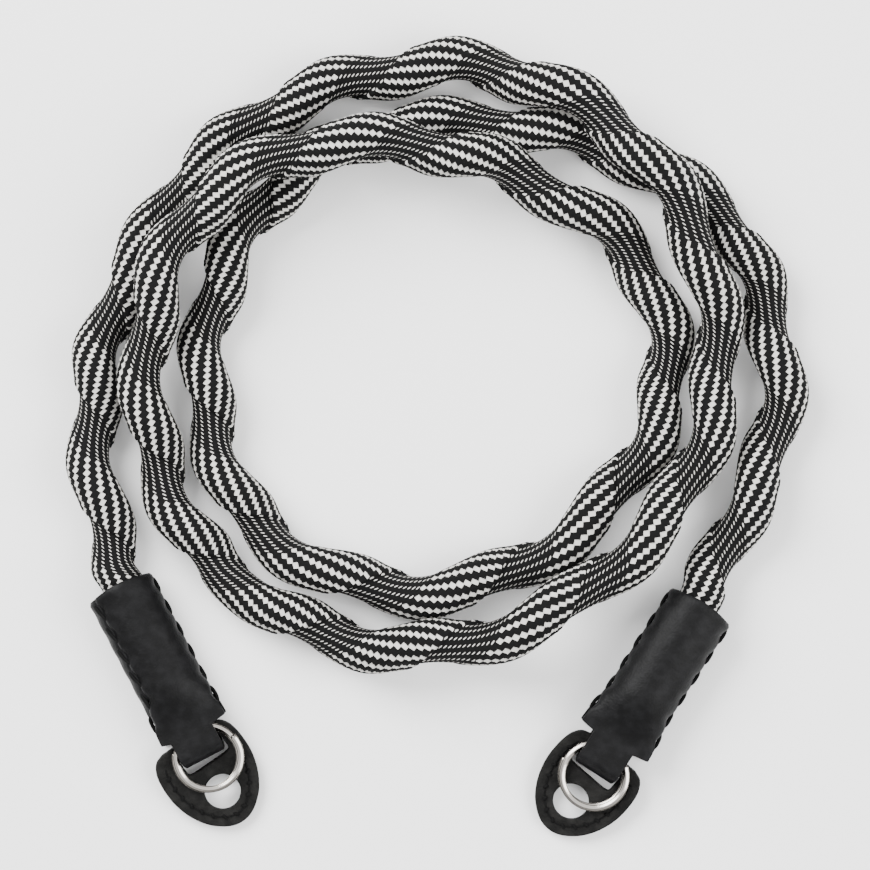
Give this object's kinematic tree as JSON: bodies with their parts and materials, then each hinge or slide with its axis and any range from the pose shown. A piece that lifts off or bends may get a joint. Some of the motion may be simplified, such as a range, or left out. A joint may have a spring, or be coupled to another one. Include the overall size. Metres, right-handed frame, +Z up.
{
  "type": "camera strap",
  "caption": "Coiled rope camera strap: a braided rope that twists on itself, with a stitched leather sleeve, a split ring and a leather pad at each end.",
  "frame": {"origin": "on the ground under the middle of the whole laid-out strap, sleeves and pads included", "axes": "+Z up from the ground the strap lies on, +Y from the sleeves towards the far side of the loops, +X to the right-hand sleeve"},
  "size_m": [0.1554, 0.168, 0.0248],
  "materials": {
    "rope": "matt braid, warm white over black",
    "leather": "black, fine grain, half matt",
    "ring": "polished nickel plate"
  },
  "bodies": {
    "root": {"rope": "rope", "left_sleeve": "leather", "left_ring": "ring", "left_pad": "leather", "right_sleeve": "leather", "right_ring": "ring", "right_pad": "leather"}
  },
  "joints": []
}
